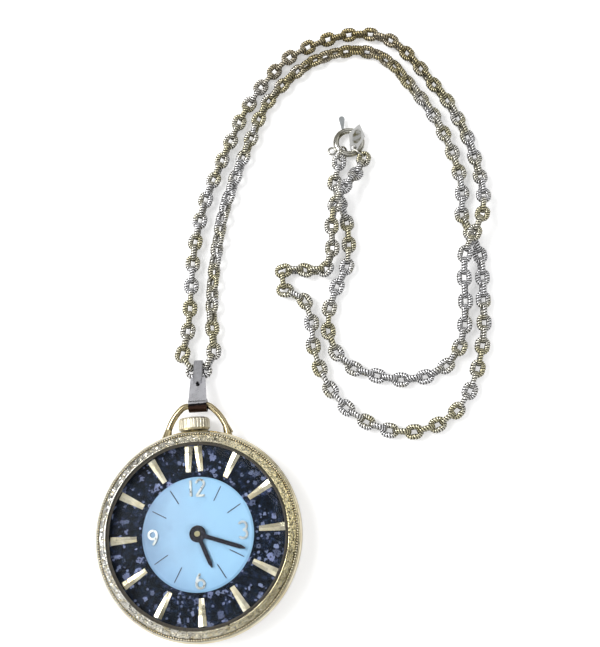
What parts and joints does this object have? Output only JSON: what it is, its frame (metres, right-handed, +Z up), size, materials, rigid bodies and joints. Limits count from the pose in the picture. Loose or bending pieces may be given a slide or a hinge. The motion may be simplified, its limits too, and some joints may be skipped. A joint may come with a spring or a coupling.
{
  "type": "pendant watch",
  "caption": "Round pendant watch with a faceted crystal, a bow and a bail on a long cable chain with a spring-ring clasp, laid face up.",
  "frame": {"origin": "centre of the case back's flat foot, on the plane the watch lies on", "axes": "+Z up through the dial, +Y to twelve o'clock and the crown, +X to three o'clock"},
  "size_m": [0.0822, 0.1232, 0.0089],
  "materials": {
    "pale_gold": "stippled pale gold plate",
    "bright_gold": "polished gold plate",
    "case_steel": "satin steel",
    "silver": "polished",
    "chain_silver": "fluted, polished",
    "rubber_seal": "matt",
    "crystal_glass": "clear, faceted",
    "black_stone": "mottled black enamel",
    "pearl_white": "pale pearl",
    "marker_gold": "polished facets",
    "black_paint": "gloss",
    "movement_brass": "brushed",
    "movement_nickel": "striped nickel plate",
    "steel": "polished",
    "blued_steel": "blued",
    "ruby": "clear ruby",
    "plastic_ring": "matt"
  },
  "bodies": {
    "case": {"case_back": "case_steel", "back_gasket": "rubber_seal", "case_band": "pale_gold", "bezel": "pale_gold", "crystal_gasket": "rubber_seal", "crystal": "crystal_glass", "dial_ring": "black_stone", "dial_centre": "pearl_white", "hour_markers": "marker_gold", "dial_numerals": "pearl_white", "dial_lines": "black_paint", "jewels": "ruby", "main_plate": "movement_nickel", "movement_screws": "steel", "train_bridge": "movement_nickel", "barrel_bridge": "movement_nickel", "pallet_bridge": "movement_nickel", "balance_cock": "movement_nickel", "click_spring": "steel", "yoke": "steel", "crown_tube": "bright_gold", "movement_ring": "plastic_ring", "case_clamps": "steel", "bow": "bright_gold"},
    "crown_seal": {"crown_gasket": "rubber_seal"},
    "crown_stem": {"crown": "bright_gold", "winding_stem": "steel"},
    "clutch": {"sliding_pinion": "steel"},
    "winding_gear": {"winding_pinion": "steel"},
    "crown_gear": {"crown_wheel": "steel"},
    "ratchet": {"ratchet_wheel": "steel", "barrel_arbor": "steel"},
    "click_lever": {"click": "steel"},
    "setting": {"setting_lever": "steel"},
    "minute_arbor": {"minute_hand": "black_paint", "cannon_pinion": "steel"},
    "motion_gear": {"minute_wheel": "movement_brass"},
    "hour_arbor": {"hour_wheel": "movement_brass", "hour_hand": "black_paint"},
    "spring_barrel": {"barrel": "movement_brass", "mainspring": "steel"},
    "centre_arbor": {"centre_wheel": "movement_brass"},
    "third_arbor": {"third_wheel": "movement_brass"},
    "fourth_arbor": {"fourth_wheel": "movement_brass"},
    "escape_arbor": {"escape_wheel": "steel"},
    "lever_fork": {"pallet_fork": "steel"},
    "balance": {"balance_wheel": "movement_brass", "hairspring": "blued_steel"},
    "bail_chain": {"bail": "silver", "bail_link": "chain_silver", "chain_right_strand": "chain_silver", "chain_outer_arch": "chain_silver", "chain_left_strand": "chain_silver", "chain_inner_arch": "chain_silver", "chain_low_loop": "chain_silver", "clasp_ring": "bright_gold", "clasp_spring": "steel", "jump_rings": "silver", "clasp_tag": "silver"},
    "latch": {"clasp_bolt": "bright_gold"}
  },
  "joints": [
    {"name": "crown_pull", "type": "slide", "parent": "case", "child": "crown_seal", "axis": [0, 1, 0], "range_m": [0, 0.0005]},
    {"name": "crown_turn", "type": "hinge", "parent": "crown_seal", "child": "crown_stem", "pos_m": [0, 0.02, 0.00325], "axis": [0, 1, 0], "continuous": true},
    {"name": "clutch_turn", "type": "hinge", "parent": "case", "child": "clutch", "pos_m": [0, 0.007, 0.00325], "axis": [0, 1, 0], "continuous": true},
    {"name": "winding_turn", "type": "hinge", "parent": "case", "child": "winding_gear", "pos_m": [0, 0.008, 0.00325], "axis": [0, 1, 0], "continuous": true},
    {"name": "crown_wheel_turn", "type": "hinge", "parent": "case", "child": "crown_gear", "pos_m": [0, 0.00631, 0.0015], "axis": [0, 0, 1], "continuous": true},
    {"name": "ratchet_turn", "type": "hinge", "parent": "case", "child": "ratchet", "pos_m": [-0.00455, 0.00263, 0.002], "axis": [0, 0, 1], "continuous": true},
    {"name": "click_swing", "type": "hinge", "parent": "case", "child": "click_lever", "pos_m": [-0.00331, 0.00725, 0.0013], "axis": [0, 0, 1], "range_deg": [0, 12]},
    {"name": "setting_swing", "type": "hinge", "parent": "case", "child": "setting", "pos_m": [-0.002, 0.0096, 0.005], "axis": [0, 0, 1], "range_deg": [0, 14.42]},
    {"name": "minute_turn", "type": "hinge", "parent": "case", "child": "minute_arbor", "pos_m": [0, 0, 0.006], "axis": [0, 0, 1], "continuous": true},
    {"name": "motion_turn", "type": "hinge", "parent": "case", "child": "motion_gear", "pos_m": [0.00082, 0.00226, 0.005], "axis": [0, 0, 1], "continuous": true},
    {"name": "hour_turn", "type": "hinge", "parent": "case", "child": "hour_arbor", "pos_m": [0, 0, 0.0055], "axis": [0, 0, 1], "continuous": true},
    {"name": "barrel_turn", "type": "hinge", "parent": "case", "child": "spring_barrel", "pos_m": [-0.00455, 0.00263, 0.003], "axis": [0, 0, 1], "continuous": true},
    {"name": "centre_turn", "type": "hinge", "parent": "case", "child": "centre_arbor", "pos_m": [0, 0, 0.003], "axis": [0, 0, 1], "continuous": true},
    {"name": "third_turn", "type": "hinge", "parent": "case", "child": "third_arbor", "pos_m": [-0.00035, -0.00394, 0.003], "axis": [0, 0, 1], "continuous": true},
    {"name": "fourth_turn", "type": "hinge", "parent": "case", "child": "fourth_arbor", "pos_m": [0.003, -0.00335, 0.003], "axis": [0, 0, 1], "continuous": true},
    {"name": "escape_turn", "type": "hinge", "parent": "case", "child": "escape_arbor", "pos_m": [0.00551, -0.00546, 0.003], "axis": [0, 0, 1], "continuous": true},
    {"name": "fork_swing", "type": "hinge", "parent": "case", "child": "lever_fork", "pos_m": [0.00631, -0.003, 0.003], "axis": [0, 0, 1], "range_deg": [-4, 4]},
    {"name": "balance_swing", "type": "hinge", "parent": "case", "child": "balance", "pos_m": [0.007, -0.0009, 0.0024], "axis": [0, 0, 1], "range_deg": [-270, 270], "stiffness_Nm_per_rad": 0.00000014, "deforming": ["hairspring"]},
    {"name": "bail_swing", "type": "hinge", "parent": "case", "child": "bail_chain", "pos_m": [0.001, 0.0238, 0.0037], "axis": [1, 0, 0], "range_deg": [-85, 100]},
    {"name": "latch_swing", "type": "hinge", "parent": "bail_chain", "child": "latch", "pos_m": [0.0356, 0.07715, 0.00125], "axis": [0, 0, 1], "range_deg": [0, 52], "stiffness_Nm_per_rad": 0.00001, "deforming": ["clasp_spring"]}
  ],
  "couplings": [
    {"joint": "clutch_turn", "follows": "crown_turn", "ratio": 1},
    {"joint": "winding_turn", "follows": "crown_turn", "ratio": 1},
    {"joint": "crown_wheel_turn", "follows": "crown_turn", "ratio": 0.4},
    {"joint": "ratchet_turn", "follows": "crown_turn", "ratio": -0.25},
    {"joint": "setting_swing", "follows": "crown_pull", "rad_per_m": 500},
    {"joint": "motion_turn", "follows": "minute_turn", "ratio": -0.33333},
    {"joint": "hour_turn", "follows": "minute_turn", "ratio": 0.083333},
    {"joint": "barrel_turn", "follows": "third_turn", "ratio": 0.020833},
    {"joint": "centre_turn", "follows": "third_turn", "ratio": -0.125},
    {"joint": "fourth_turn", "follows": "third_turn", "ratio": -7.5},
    {"joint": "escape_turn", "follows": "third_turn", "ratio": 75}
  ]
}
